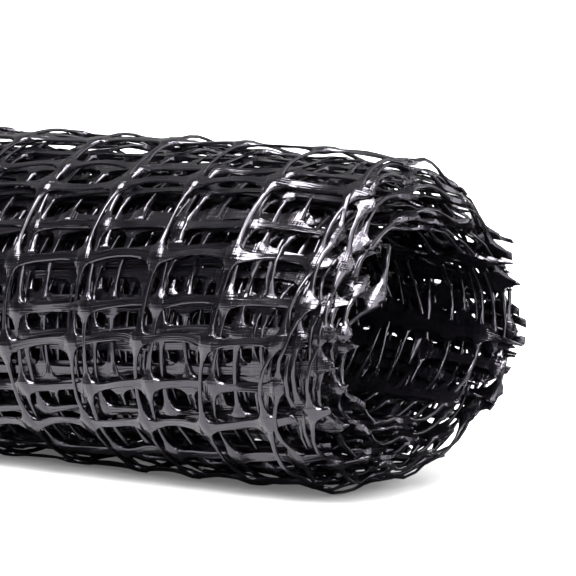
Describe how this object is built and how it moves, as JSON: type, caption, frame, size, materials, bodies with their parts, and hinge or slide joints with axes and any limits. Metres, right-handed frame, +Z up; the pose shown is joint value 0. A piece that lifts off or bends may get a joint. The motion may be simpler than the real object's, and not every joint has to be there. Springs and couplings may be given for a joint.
{
  "type": "roll of mole netting",
  "caption": "Loose hollow roll of black stretched plastic netting with small rectangular meshes, lying on its side, laid under turf to keep moles out.",
  "frame": {"origin": "on the surface that the roll lies on, below the middle of its bounding box", "axes": "+X along the roll, towards the cut end that faces the viewer; +Z up; the roll rests on a flat spot at Z = 0"},
  "size_m": [0.5, 0.0614, 0.0593],
  "materials": {
    "black_net": "extruded and stretched polypropylene, glossy black with fine lines along its strands"
  },
  "bodies": {
    "root": {"net_roll": "black_net"}
  },
  "joints": []
}
